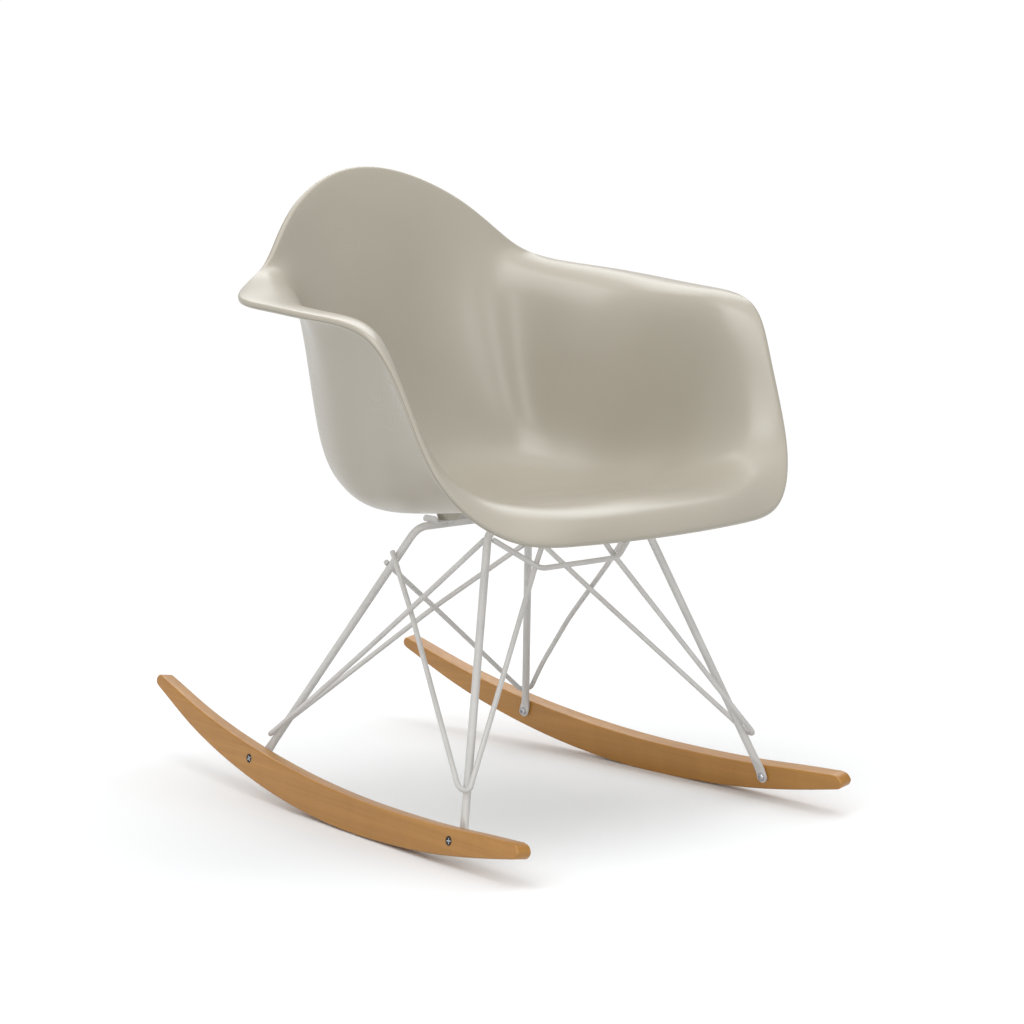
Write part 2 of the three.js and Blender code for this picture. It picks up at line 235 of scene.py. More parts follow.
def powderCoat():
    look = Finish("powderCoat", IOR=1.5)
    cloud = look.noise(30, 3)
    speck = look.noise(900, 2, 0.7)
    tone = look.blendColours(look.spread(cloud, 0, 1), srgb(186, 184, 181), srgb(196, 194, 191))
    tone = look.blendColours(look.spread(speck, 0, 0.25, 0.6, 0.8), tone, srgb(150, 148, 146))
    peel = look.bump(look.noise(650, 2, 0.5), 0.16, 0.0002)
    return look.use(Base_Color=tone, Roughness=look.spread(look.noise(120, 3), 0.34, 0.46), Normal=peel)


def zincPlate():
    look = Finish("zincPlate", Metallic=1.0)
    spangle = look.node("ShaderNodeTexVoronoi", Vector=look.place, Scale=900.0).outputs["Distance"]
    tone = look.blendColours(look.spread(spangle, 0, 1, 0.1, 0.6), srgb(208, 208, 210), srgb(178, 179, 183))
    dull = look.noise(500, 3, 0.6)
    tone = look.blendColours(look.spread(dull, 0, 0.35, 0.5, 0.75), tone, srgb(140, 138, 134))
    marks = look.bump(look.noise(1400, 3, 0.6), 0.12, 0.0001)
    return look.use(Base_Color=tone, Roughness=look.spread(dull, 0.26, 0.44), Normal=marks)


def blackOxide():
    look = Finish("blackOxide", Metallic=0.6)
    worn = look.noise(800, 3, 0.6)
    tone = look.blendColours(look.spread(worn, 0, 1, 0.45, 0.8), srgb(26, 27, 30), srgb(66, 67, 70))
    rubbed = look.node("ShaderNodeAttribute")
    rubbed.attribute_name = "rubbed"
    tone = look.blendColours(rubbed.outputs["Fac"], tone, srgb(196, 196, 198))
    marks = look.bump(look.noise(1500, 2), 0.12, 0.0001)
    return look.use(Base_Color=tone, Roughness=look.spread(worn, 0.3, 0.5), Normal=marks)


def lacqueredMaple():
    look = Finish("lacqueredMaple", Coat_Weight=0.25, Coat_Roughness=0.22, Coat_IOR=1.5)
    board = look.node("ShaderNodeAttribute")         # place in the board: across, along, up
    board.attribute_name = "boardPlace"
    board = board.outputs["Vector"]
    bands = look.noise(1.0, 3, 0.5, look.mapped((26, 1.6, 52), board), 0.6)
    streaks = look.noise(1.0, 4, 0.6, look.mapped((170, 5, 330), board))
    pores = look.noise(1.0, 3, 0.65, look.mapped((1500, 60, 1900), board))
    flame = look.noise(1.0, 2, 0.5, look.mapped((12, 34, 9), board), 0.3)
    tone = look.blendColours(look.spread(bands, 0, 1, 0.35, 0.65), srgb(156, 107, 38), srgb(169, 119, 46))
    tone = look.blendColours(look.spread(streaks, 0, 0.55), tone, srgb(146, 97, 32))
    tone = look.blendColours(look.spread(flame, 0, 0.16), tone, srgb(186, 137, 62))
    tone = look.blendColours(look.spread(pores, 0, 0.4, 0.58, 0.75), tone, srgb(126, 85, 34))
    fibre = look.bump(pores, 0.08, 0.0002)
    fibre = look.bump(streaks, 0.05, 0.0004, fibre)
    return look.use(Base_Color=tone, Roughness=look.spread(streaks, 0.38, 0.5), Normal=fibre)


plastic, coat, zinc, blacked, maple = (mouldedPlastic(), powderCoat(), zincPlate(), blackOxide(),
                                       lacqueredMaple())
print("finishes ready")


# geometry nodes: rods and repeated fittings

def newTree(name, **inputs):
    tree = bpy.data.node_groups.new(name, "GeometryNodeTree")
    tree.interface.new_socket(name="Geometry", in_out="INPUT", socket_type="NodeSocketGeometry")
    tree.interface.new_socket(name="Geometry", in_out="OUTPUT", socket_type="NodeSocketGeometry")
    sockets = {}
    for label, kind in inputs.items():
        sockets[label] = tree.interface.new_socket(name=label, in_out="INPUT",
                                                   socket_type="NodeSocket" + kind).identifier
    entry = tree.nodes.new("NodeGroupInput")
    leave = tree.nodes.new("NodeGroupOutput")
    return tree, sockets, entry, leave


def wire(tree, source, target):
    tree.links.new(source, target)


# a round rod along a chain of corners, each bent to its own radius, with chamfered ends
def bentRodTree():
    tree, sockets, entry, leave = newTree("bentRod", rodRadius="Float", bendSteps="Int", sides="Int",
                                          chamfer="Float", finish="Material")
    add = tree.nodes.new
    chain = add("GeometryNodeMeshToCurve")
    bend = add("GeometryNodeFilletCurve")
    bend.mode = "POLY"
    bend.inputs["Limit Radius"].default_value = True
    radius = add("GeometryNodeInputNamedAttribute")
    radius.data_type = "FLOAT"
    radius.inputs["Name"].default_value = "bendRadius"
    ring = add("GeometryNodeCurvePrimitiveCircle")
    sweep = add("GeometryNodeCurveToMesh")
    sweep.inputs["Fill Caps"].default_value = True
    along = add("GeometryNodeSplineParameter")
    whole = add("GeometryNodeSplineLength")
    left = add("ShaderNodeMath")
    left.operation = "SUBTRACT"
    nearer = add("ShaderNodeMath")
    nearer.operation = "MINIMUM"
    taper = add("ShaderNodeMapRange")
    taper.inputs["To Min"].default_value = 0.8
    taper.inputs["To Max"].default_value = 1.0
    smooth = add("GeometryNodeSetShadeSmooth")
    real = add("GeometryNodeRealizeInstances")
    paint = add("GeometryNodeSetMaterial")
    wire(tree, entry.outputs["Geometry"], chain.inputs["Mesh"])
    wire(tree, chain.outputs["Curve"], bend.inputs["Curve"])
    wire(tree, radius.outputs["Attribute"], bend.inputs["Radius"])
    wire(tree, entry.outputs["bendSteps"], bend.inputs["Count"])
    wire(tree, bend.outputs["Curve"], sweep.inputs["Curve"])
    wire(tree, entry.outputs["sides"], ring.inputs["Resolution"])
    wire(tree, entry.outputs["rodRadius"], ring.inputs["Radius"])
    wire(tree, ring.outputs["Curve"], sweep.inputs["Profile Curve"])
    wire(tree, whole.outputs["Length"], left.inputs[0])
    wire(tree, along.outputs["Length"], left.inputs[1])
    wire(tree, along.outputs["Length"], nearer.inputs[0])
    wire(tree, left.outputs[0], nearer.inputs[1])
    wire(tree, nearer.outputs[0], taper.inputs["Value"])
    wire(tree, entry.outputs["chamfer"], taper.inputs["From Max"])
    wire(tree, taper.outputs["Result"], sweep.inputs["Scale"])
    wire(tree, sweep.outputs["Mesh"], smooth.inputs["Geometry"])
    wire(tree, smooth.outputs["Geometry"], real.inputs["Geometry"])
    wire(tree, real.outputs["Geometry"], paint.inputs["Geometry"])
    wire(tree, entry.outputs["finish"], paint.inputs["Material"])
    wire(tree, paint.outputs["Geometry"], leave.inputs["Geometry"])
    return tree, sockets


# one fitting at each point, its own +Z turned to the point's "aim" and its +X to its "side"
def fittingTree():
    tree, sockets, entry, leave = newTree("fittingsOnPoints", fitting="Object", size="Float",
                                          finish="Material")
    add = tree.nodes.new
    copy = add("GeometryNodeObjectInfo")
    place = add("GeometryNodeInstanceOnPoints")
    aim, side = add("GeometryNodeInputNamedAttribute"), add("GeometryNodeInputNamedAttribute")
    for source, label in ((aim, "aim"), (side, "side")):
        source.data_type = "FLOAT_VECTOR"
        source.inputs["Name"].default_value = label
    turn = add("FunctionNodeAxesToRotation")
    turn.primary_axis, turn.secondary_axis = "Z", "X"
    real = add("GeometryNodeRealizeInstances")
    paint = add("GeometryNodeSetMaterial")
    wire(tree, entry.outputs["fitting"], copy.inputs["Object"])
    wire(tree, entry.outputs["Geometry"], place.inputs["Points"])
    wire(tree, copy.outputs["Geometry"], place.inputs["Instance"])
    wire(tree, aim.outputs["Attribute"], turn.inputs["Primary Axis"])
    wire(tree, side.outputs["Attribute"], turn.inputs["Secondary Axis"])
    wire(tree, turn.outputs["Rotation"], place.inputs["Rotation"])
    wire(tree, entry.outputs["size"], place.inputs["Scale"])
    wire(tree, place.outputs["Instances"], real.inputs["Geometry"])
    wire(tree, real.outputs["Geometry"], paint.inputs["Geometry"])
    wire(tree, entry.outputs["finish"], paint.inputs["Material"])
    wire(tree, paint.outputs["Geometry"], leave.inputs["Geometry"])
    return tree, sockets


rodTree, rodSockets = bentRodTree()
fittingsTree, fittingSockets = fittingTree()


def grow(piece, tree, sockets, **values):
    step = piece.modifiers.new("grow", "NODES")
    step.node_group = tree
    for label, value in values.items():
        step[sockets[label]] = value
    return frozen(piece)


def pointAttribute(piece, label, kind, values):
    made = piece.data.attributes.new(label, kind, "POINT")
    flat = np.asarray(values, np.float32).ravel()
    made.data.foreach_set("value" if kind == "FLOAT" else "vector", flat)


wireStock = {"radius": 3.2, "steps": 10, "sides": 24, "chamfer": 0.7}


# bend radius that starts each bend its own "ease" before the corner
def bendRadii(corners, eases):
    radii = [0.0]
    for i, ease in enumerate(eases, 1):
        back, ahead = unit(corners[i - 1] - corners[i]), unit(corners[i + 1] - corners[i])
        half = math.acos(np.clip(-back @ ahead, -1, 1)) / 2
        radii.append(ease / math.tan(half) if half > 0.01 else 0.0)
    return radii + [0.0]


def bentWire(name, corners, eases, *nodes):
    corners = np.array(corners, float)
    radii = bendRadii(corners, eases)
    ends = [corners[0] + unit(corners[1] - corners[0]) * wireStock["chamfer"],
            corners[-1] + unit(corners[-2] - corners[-1]) * wireStock["chamfer"]]
    chain = np.vstack([corners[:1], ends[:1], corners[1:-1], ends[1:], corners[-1:]])
    radii = [0, 0] + radii[1:-1] + [0, 0]
    piece = addMesh(name, toFrame(chain), [], [(i, i + 1) for i in range(len(chain) - 1)])
    pointAttribute(piece, "bendRadius", "FLOAT", np.array(radii) / 1000)
    grow(piece, rodTree, rodSockets, rodRadius=wireStock["radius"] / 1000, bendSteps=wireStock["steps"],
         sides=wireStock["sides"], chamfer=wireStock["chamfer"] / 1000, finish=coat)
    cleanMesh(piece, 1e-7, 40)
    return finishPiece(piece, coat, "frame_steel", *nodes)


# seat shell

# one row per section, from the middle of the front edge round to the middle of the back:
# seat floor, start of the bend, wall, neck under the rim, rim flange, middle of the rim bead
shell = {
    "seatMiddle": (0, -10, 371),
    "wall": 5.5, "rimBead": 8.5, "beadFrom": 0.9, "beadSteps": 10,
    "columns": 288, "rows": 84, "evenness": 0.7,
    "patchReach": 0.3, "seatFall": 0.06,
    "socketRadius": 4.8, "socketHeights": (-2, 9),
    "sections": [
        [(0, -120, 383), (0, -180, 391), (0, -215, 398),
         (0, -247, 397), (0, -277, 386), (0, -287, 360)],
        [(75, -118, 383), (95, -175, 391), (110, -210, 398),
         (120, -240, 398), (129, -268, 387), (131, -277, 361)],
        [(110, -95, 381), (150, -140, 388), (180, -172, 403),
         (196, -202, 415), (210, -231, 403), (215, -252, 375)],
        [(120, -75, 378), (178, -103, 388), (212, -135, 416),
         (233, -165, 444), (249, -190, 450), (269, -208, 433)],
        [(130, -50, 375), (195, -75, 386), (225, -95, 430),
         (246, -115, 490), (262, -140, 530), (288, -162, 530)],
        [(130, -25, 371), (203, -40, 384), (229, -60, 440),
         (247, -80, 545), (265, -105, 600), (302, -116, 592)],
        [(130, 10, 366), (204, 0, 382), (224, -15, 450),
         (240, -25, 565), (262, -40, 620), (310, -35, 607)],
        [(120, 40, 363), (198, 45, 381), (212, 48, 450),
         (222, 52, 560), (250, 60, 628), (313, 50, 613)],
        [(100, 65, 363), (178, 92, 382), (187, 110, 460),
         (192, 122, 570), (216, 124, 645), (303, 119, 619)],
        [(75, 90, 364), (148, 135, 387), (153, 163, 470),
         (158, 178, 580), (182, 180, 650), (234, 185, 635)],
        [(45, 100, 366), (102, 155, 390), (108, 188, 480),
         (120, 205, 590), (150, 215, 655), (190, 211, 661)],
        [(20, 106, 367), (55, 167, 393), (56, 204, 485),
         (70, 224, 600), (92, 240, 680), (130, 243, 716)],
        [(10, 108, 367), (25, 170, 394), (27, 209, 486),
         (35, 230, 603), (44, 247, 695), (60, 266, 750)],
        [(0, 109, 367), (0, 171, 394), (0, 210, 486),
         (0, 231, 603), (0, 249, 700), (0, 273, 759)],
    ],
}
# middle and foot of each moulded boss, and its rise to the shell
bossSpots = [(side * 48, y, z, rise) for y, z, rise in ((-119.8, 364.35, 14), (46.2, 345.35, 18))
             for side in (1, -1)]


# smooth closed curve through values at the given knots, evaluated at "at"
def closedSpline(knots, values, at):
    count = len(values)
    step = np.diff(knots)
    before = np.roll(step, 1)
    slope = (np.roll(values, -1, 0) - values) / step[:, None]
    matrix = np.zeros((count, count))
    for i in range(count):
        matrix[i, i] = 2 * (before[i] + step[i])
        matrix[i, i - 1] += before[i]
        matrix[i, (i + 1) % count] += step[i]
    bendHere = np.linalg.solve(matrix, 6 * (slope - np.roll(slope, 1, 0)))
    i = np.clip(np.searchsorted(knots, at, "right") - 1, 0, count - 1)
    after = (i + 1) % count
    h, a = step[i][:, None], (at - knots[i])[:, None]
    b = h - a
    return ((bendHere[i] * b ** 3 + bendHere[after] * a ** 3) / (6 * h)
            + (values[i] / h - bendHere[i] * h / 6) * b + (values[after] / h - bendHere[after] * h / 6) * a)


# weights of each control point of a cubic B-spline that starts and ends on its control points
def splineWeights(count, at):
    knots = np.r_[[0] * 3, np.linspace(0, 1, count - 2), [1] * 3]
    at = np.clip(at, 0, 1 - 1e-9)
    weights = np.array([(at >= knots[i]) & (at < knots[i + 1]) for i in range(len(knots) - 1)], float)
    for degree in (1, 2, 3):
        raised = []
        for i in range(len(knots) - 1 - degree):
            left, right = knots[i + degree] - knots[i], knots[i + degree + 1] - knots[i + 1]
            rising = (at - knots[i]) / left * weights[i] if left > 0 else 0 * at
            falling = (knots[i + degree + 1] - at) / right * weights[i + 1] if right > 0 else 0 * at
            raised.append(rising + falling)
        weights = np.array(raised)
    return weights.T


def shellUpper():
    rows = np.array(shell["sections"], float)
    around = np.concatenate([rows, (rows[1:-1] * [-1, 1, 1])[::-1]])
    reach = np.linalg.norm(np.roll(around, -1, 0) - around, axis=2)[:, 1:].mean(1) ** shell["evenness"]
    knots = np.r_[0, np.cumsum(reach)] / reach.sum()
    at = np.arange(shell["columns"]) / shell["columns"]
    rings = closedSpline(knots, around.reshape(len(around), -1), at).reshape(len(at), -1, 3)
    out = unit(rings[:, -1] - rings[:, -2])
    along = np.roll(rings[:, -1], -1, 0) - np.roll(rings[:, -1], 1, 0)
    up = unit(np.cross(out, along))
    bead = shell["rimBead"] / 2
    rings[:, -1] += (up - out) * bead
    middle = np.array(shell["seatMiddle"], float)
    # one flat patch in the middle, so that it has no dimple
    inner = middle + (rings[:, 0] - middle) * shell["patchReach"]
    inner[:, 2] = middle[2] - shell["seatFall"] * (inner[:, 1] - middle[1])
    control = np.concatenate([np.broadcast_to(middle, (len(at), 1, 3)), inner[:, None], rings], axis=1)
    weights = splineWeights(control.shape[1], np.linspace(0, 1, shell["rows"] + 1))
    return np.einsum("rk,ckx->crx", weights, control)


def shellNormals(upper):
    along = np.roll(upper, -1, 0) - np.roll(upper, 1, 0)
    normals = np.cross(np.gradient(upper, axis=1), along)
    normals[:, 0] = (0, shell["seatFall"], 1)
    return unit(normals)


def boss(x, y, foot, rise):
    profile = [(0, 0), (12.7, 0), (13.3, 0.25), (13.7, 0.9), (15.6, rise * 0.35), (17.8, rise * 0.6),
               (20.6, rise * 0.8), (24, rise * 0.93), (27, rise), (0, rise)]
    turns = [2 * math.pi * k / 48 for k in range(48)]
    rings = [[(x + r * math.cos(t), y + r * math.sin(t), foot + h) for t in turns] for r, h in profile[1:-1]]
    points, faces = ringSkin(rings)
    return cleanMesh(addMesh("boss", toFrame(points), faces))


def socket(x, y, foot):
    radius = shell["socketRadius"]
    turns = [2 * math.pi * k / 32 for k in range(32)]
    rings = [[(x + radius * math.cos(t), y + radius * math.sin(t), foot + h) for t in turns]
             for h in shell["socketHeights"]]
    points, faces = ringSkin(rings)
    return cleanMesh(addMesh("socket", toFrame(points), faces))


def buildShell():
    upper = shellUpper()
    normals = shellNormals(upper)
    share = np.linspace(0, 1, shell["rows"] + 1)
    thick = shell["wall"] + (shell["rimBead"] - shell["wall"]) * smoothStep(
        (share - shell["beadFrom"]) / (1 - shell["beadFrom"]))
    lower = upper - normals * thick[None, :, None]
    middle = (upper[:, -1] + lower[:, -1]) / 2
    half = (upper[:, -1] - lower[:, -1]) / 2
    out = unit(upper[:, -1] - upper[:, -2]) * np.linalg.norm(half, axis=1)[:, None]
    turns = [math.pi * k / shell["beadSteps"] for k in range(1, shell["beadSteps"])]
    nose = np.stack([middle + half * math.cos(t) + out * math.sin(t) for t in turns], axis=1)
    loops = np.concatenate([upper[:, 1:], nose, lower[:, :0:-1]], axis=1)
    columns, count = loops.shape[:2]
    points = list(loops.reshape(-1, 3)) + [upper[0, 0], lower[0, 0]]
    faces = []
    for c in range(columns):
        a, b = c * count, (c + 1) % columns * count
        faces += [(a + j, b + j, b + j + 1, a + j + 1) for j in range(count - 1)]
        faces.append((a, b, len(points) - 2))
        faces.append((a + count - 1, b + count - 1, len(points) - 1))
    piece = addMesh("seatShell", toFrame(points), faces)
    stepReach = shell["rimBead"] * math.pi / 2 / shell["beadSteps"]
    above, below = shellSeam["above"], shellSeam["below"]
    reach = [above] * (shell["rows"] - 1)
    reach += [shellSeam["edge"] + k * stepReach for k in range(shell["beadSteps"] + 1)]
    reach += [below] * (count - len(reach))
    pointAttribute(piece, "beadReach", "FLOAT", reach * columns + [above, below])
    cleanMesh(piece)
    for x, y, foot, rise in bossSpots:
        cutWith(piece, boss(x, y, foot, rise), "UNION")
        cutWith(piece, socket(x, y, foot))
    cleanMesh(piece, 1e-7, 38)
    return finishPiece(piece, plastic, "shell", "seat_shell")


buildShell()
print("seat shell moulded")


# runners

runner = {
    "halfTrack": 226, "datumHeight": 37.5, "thick": 20, "round": 2.2, "roundSteps": 5,
    "lean": 8.35, "toeOut": 3.2, "boltReach": 207, "boltRise": 9, "grainShift": 0.7,
    # radius, start and end of the bolt's hole and the nut's pocket, from the inner face
    "holes": ((3.5, -1, 8), (5.6, 16.8, 22)), "holeSides": 40,
    "top": [(-318, 11.8), (-262, 9), (-193, 4.8), (-100, 2.7), (-4, 4.1), (98, 11), (206, 24.6),
            (320, 46.6), (424, 75)],
    "tail": [(432, 76), (436.5, 71), (436, 65.5)],
    "sole": [(430, 61), (340, 23.5), (222, -10.2), (112, -29.4), (8, -37.4), (-89, -36.2), (-181, -29.4),
             (-268, -16.4), (-318, -7)],
    "nose": [(-327.5, -4), (-331, 1.5), (-328, 8.3)],
}
boltSpots = [("front", -runner["boltReach"], -runner["boltRise"]),
             ("rear", runner["boltReach"], runner["boltRise"])]
sides = (("left", 1), ("right", -1))


# rows are the runner's own axes: outward from its inner face, along it to the back, up the board
def runnerAxes(side):
    lean, toe = math.radians(runner["lean"]), math.radians(runner["toeOut"])
    outward = (side * math.cos(lean) * math.cos(toe), math.cos(lean) * math.sin(toe), math.sin(lean))
    along = (-side * math.sin(toe), math.cos(toe), 0)
    upward = (-side * math.sin(lean) * math.cos(toe), -math.sin(lean) * math.sin(toe), math.cos(lean))
    return np.array([outward, along, upward])


def onRunner(side, places):
    origin = np.array([side * runner["halfTrack"], 0, runner["datumHeight"]])
    return origin + np.asarray(places, float) @ runnerAxes(side)


# smooth line through the points; "skip" leaves out that many stretches at each end
def smoothLine(points, count, skip=0):
    points = np.array(points, float)
    reach = np.r_[0, np.cumsum(np.linalg.norm(np.diff(points, axis=0), axis=1))]
    at = np.linspace(reach[skip], reach[-1 - skip], count)
    slopes = np.gradient(points, reach, axis=0)
    i = np.clip(np.searchsorted(reach, at, "right") - 1, 0, len(points) - 2)
    h = (reach[i + 1] - reach[i])[:, None]
    t = (at - reach[i])[:, None] / h
    return (points[i] * (2 * t**3 - 3 * t**2 + 1) + slopes[i] * h * (t**3 - 2 * t**2 + t)
            + points[i + 1] * (3 * t**2 - 2 * t**3) + slopes[i + 1] * h * (t**3 - t**2))


# round tool across a board, from the first depth to the last
def drillTool(side, along, up, radius, count, depths):
    turns = np.linspace(0, 2 * math.pi, count + 1)[:-1]
    ring = np.array([(0, radius * math.cos(t), radius * math.sin(t)) for t in turns])
    bore = [toFrame(onRunner(side, ring + (depth, along, up))) for depth in depths]
    return cleanMesh(addMesh("drill", *ringSkin(bore)))


# side outline of the board as (along, up), clockwise, with rounded corners at both ends
def runnerOutline():
    top = smoothLine(runner["top"], 90)
    sole = smoothLine(runner["sole"], 96)
    ends = []
    for first, stops, last in ((top[-2:], runner["tail"], sole[:2]), (sole[-2:], runner["nose"], top[:2])):
        ends.append(smoothLine([*first, *stops, *last], 22, 1)[1:-1])
    return np.vstack([top, ends[0], sole, ends[1]])


def buildRunner(word, side):
    outline = runnerOutline()
    normal = np.roll(outline, -1, 0) - np.roll(outline, 1, 0)
    normal = unit(np.stack([-normal[:, 1], normal[:, 0]], axis=1))
    r, thick = runner["round"], runner["thick"]
    turns = np.linspace(0, math.pi / 2, runner["roundSteps"] + 1)
    layers = [(r + 0.5, 0)] + [(r * (1 - math.sin(t)), r * (1 - math.cos(t))) for t in turns]
    layers += [(inset, thick - depth) for inset, depth in reversed(layers)]
    rings = [np.column_stack([np.full(len(outline), depth), outline - normal * inset])
             for inset, depth in layers]
    count = len(outline)
    places = np.vstack(rings)
    faces = [(i * count + k, i * count + (k + 1) % count,
              (i + 1) * count + (k + 1) % count, (i + 1) * count + k)
             for i in range(len(rings) - 1) for k in range(count)]
    faces += [tuple(range(count)), tuple(range((len(rings) - 1) * count, len(rings) * count))]
    points = toFrame(onRunner(side, places))
    points[:, 2] = np.maximum(points[:, 2], 0)       # the small flat that it stands on
    piece = addMesh("runner" + word.capitalize(), points, faces)
    cleanMesh(piece, 1e-7, 40)
    for _, along, up in boltSpots:
        for radius, low, high in runner["holes"]:
            cutWith(piece, drillTool(side, along, up, radius, runner["holeSides"], (low, high)))
    cleanMesh(piece, 1e-7, 35)
    origin = toFrame(onRunner(side, (0, 0, 0)))
    here = np.array([v.co for v in piece.data.vertices])
    # the shift gives each board grain of its own
    place = (here - origin) @ runnerAxes(side).T + (side * runner["grainShift"], 0, 0)
    pointAttribute(piece, "boardPlace", "FLOAT_VECTOR", place)
    return finishPiece(piece, maple, "runner_wood", "runner_" + word)


for word, side in sides:
    buildRunner(word, side)
print("runners shaped")


# leg hoops

legs = {
    "radius": 4.75, "sides": 32, "eyeWidth": 7.5, "eyeThick": 2.0, "eyeLength": 10, "neckLength": 22,
    "eyeBack": 2.4, "heel": 9, "bendEase": 15,
    "boreRadius": 3.4, "boreSides": 32, "boreDepths": (-8, 1),
    "roundReach": 500,   # a reach at which the rod is plain and round
    "front": {"y": -109, "z": 357, "x": 118},
    "rear": {"y": 57, "z": 338, "x": 88.5},
}


def bentLine(corners, ease, steps=14):
    corners = np.array(corners, float)
    start = corners[1] + unit(corners[0] - corners[1]) * ease
    end = corners[1] + unit(corners[2] - corners[1]) * ease
    t = np.linspace(0, 1, steps)[:, None]
    return start * (1 - t) ** 2 + corners[1] * 2 * t * (1 - t) + end * t ** 2


def legHoop(name, spot):
    level, (_, along, up) = legs[name], spot
    axes = runnerAxes(1)
    bolt = onRunner(1, (-legs["eyeBack"], along, up))
    bend = np.array([level["x"], level["y"], level["z"]], float)
    upLeg = bend - bolt
    upLeg = unit(upLeg - axes[0] * (upLeg @ axes[0]))
    heel = bolt + upLeg * legs["heel"]
    wide = legs["eyeWidth"]
    eye = [-wide * math.cos(math.pi / 2 * k / 9) for k in range(10)] + [3, 6]
    line = [bolt + upLeg * s for s in eye]
    reach = list(eye)
    run = np.linalg.norm(bend - heel)
    for d in [0, 3, 6, 9, 12, 15, 18, 21, 24, 30, 60, 110, 160, 210]:
        line.append(heel + (bend - heel) * d / run)
        reach.append(legs["heel"] + d)
    for p in bentLine([heel, bend, (0, level["y"], level["z"])], legs["bendEase"]):
        line.append(p)
        reach.append(legs["roundReach"])
    line.append(np.array([40, level["y"], level["z"]], float))
    line.append(np.array([0, level["y"], level["z"]], float))
    reach += [legs["roundReach"]] * 2
    line = np.array(line)
    tangent = unit(np.gradient(line, axis=0))
    turns = 2 * np.pi * np.arange(legs["sides"]) / legs["sides"]
    normal = axes[0]
    rings = []
    for p, t, s in zip(line, tangent, reach):
        normal = unit(normal - t * (normal @ t))
        across = np.cross(t, normal)
        rounding = float(smoothStep((s - legs["eyeLength"]) / legs["neckLength"]))
        half = max(math.sqrt(max(wide ** 2 - s ** 2, 0)), 0.6) if s < 0 else wide - 0.05 * s
        half += (legs["radius"] - half) * rounding
        deep = legs["eyeThick"] + (legs["radius"] - legs["eyeThick"]) * rounding
        power = 2 / (4 - 2 * rounding)                       # flat faces at the eye, round further up
        c, s2 = np.cos(turns), np.sin(turns)
        rings.append(p + np.outer(np.sign(c) * abs(c) ** power * half, across)
                     + np.outer(np.sign(s2) * abs(s2) ** power * deep, normal))
    mirrored = [ring * (-1, 1, 1) for ring in rings[-2::-1]]
    points, faces = ringSkin(rings + mirrored)
    piece = cleanMesh(addMesh("legHoop" + name.capitalize(), toFrame(points), faces))
    for _, side in sides:
        cutWith(piece, drillTool(side, along, up, legs["boreRadius"], legs["boreSides"],
                                 legs["boreDepths"]))
    cleanMesh(piece, 1e-7, 42)
    return finishPiece(piece, coat, "frame_steel", "leg_hoop_" + name)


for spot in boltSpots:
    legHoop(spot[0], spot)
print("leg hoops bent")


# braces and stretcher

wires = {
    "frontBrace": {
        "corners": [(110.3, 78.5, 308), (139.8, 6.2, 247), (227, -185, 83.8), (226.4, -203, 81.4),
                    (61.5, -127.3, 311.4), (31.5, -117.6, 357)],
        "eases": [20, 9, 7.4, 12]},
    "rearBrace": {
        "corners": [(119.8, -105.1, 346), (141, -28.5, 276.5), (162.5, 64.5, 196), (191, 149, 119.5),
                    (210.7, 192.8, 79.2), (202.4, 204, 76.1), (117, 174, 136.5), (0, 133.5, 217),
                    (-105, 91.8, 289), (-112, 88.8, 294.5)],
        "eases": [20, 25, 20, 7, 6.5, 20, 20, 2], "crossing": 7, "crossShift": 4.3},
    "frontStretcher": {
        "corners": [(115.8, -114.8, 346.5), (61, -136, 309.3), (-61, -136, 309.3), (-115.8, -114.8, 346.5)],
        "eases": [9, 9]},
}


def sideWire(name, word, side, node):
    stock = wires[name]
    corners = np.array(stock["corners"], float)
    if "crossing" in stock:
        corners[stock["crossing"], 1] -= side * stock["crossShift"]
    return bentWire(name + word.capitalize(), corners * (side, 1, 1), stock["eases"], node)


for word, side in sides:
    sideWire("frontBrace", word, side, "front_brace_" + word)
    sideWire("rearBrace", word, side, "rear_brace_" + word)
bentWire("frontStretcher", wires["frontStretcher"]["corners"], wires["frontStretcher"]["eases"],
         "front_stretcher")
print("braces bent")


# fittings

def turned(name, profile, sides, recess):
    # profile is (radius, height) from the tip of the shank to the rim of the head; recess is a list of
    # (outline function, height) rings that lead down into the head
    turns = [2 * math.pi * k / sides for k in range(sides)]
    rings = [[(r * math.cos(t) / 1000, r * math.sin(t) / 1000, h / 1000) for t in turns] for r, h in profile]
    for outline, height in recess:
        rings.append([(outline(t) * math.cos(t) / 1000, outline(t) * math.sin(t) / 1000, height / 1000)
                      for t in turns])
    points, faces = ringSkin(rings)
    piece = addMesh(name, points, faces)
    return cleanMesh(piece, 1e-8, 30)


def hexagon(flat):
    return lambda t: flat / math.cos((t + math.pi / 6) % (math.pi / 3) - math.pi / 6)


def cross(arm, half):
    def reach(t):
        t = (t + math.pi / 4) % (math.pi / 2) - math.pi / 4
        return min(arm / math.cos(t), half / max(abs(math.sin(t)), 1e-6))
    return reach


def domedHead(radius, height, shank, length):
    profile = [(0.01, -length), (shank - 0.8, -length), (shank, -length + 0.8), (shank, -0.3),
               (shank + 0.3, 0), (radius - 0.25, 0), (radius, 0.25), (radius, 0.7)]
    for k in range(1, 8):
        lift = math.pi / 2 * k / 8
        profile.append((radius * (0.36 + 0.64 * math.cos(lift)), 0.7 + (height - 0.7) * math.sin(lift)))
    rim = height + 0.02
    return turned("domedHead", profile, 48, [(hexagon(2.2), rim - 0.05), (hexagon(2.0), rim - 0.3),
                                              (hexagon(2.0), rim - 2.2), (lambda t: 0.01, rim - 2.7)])


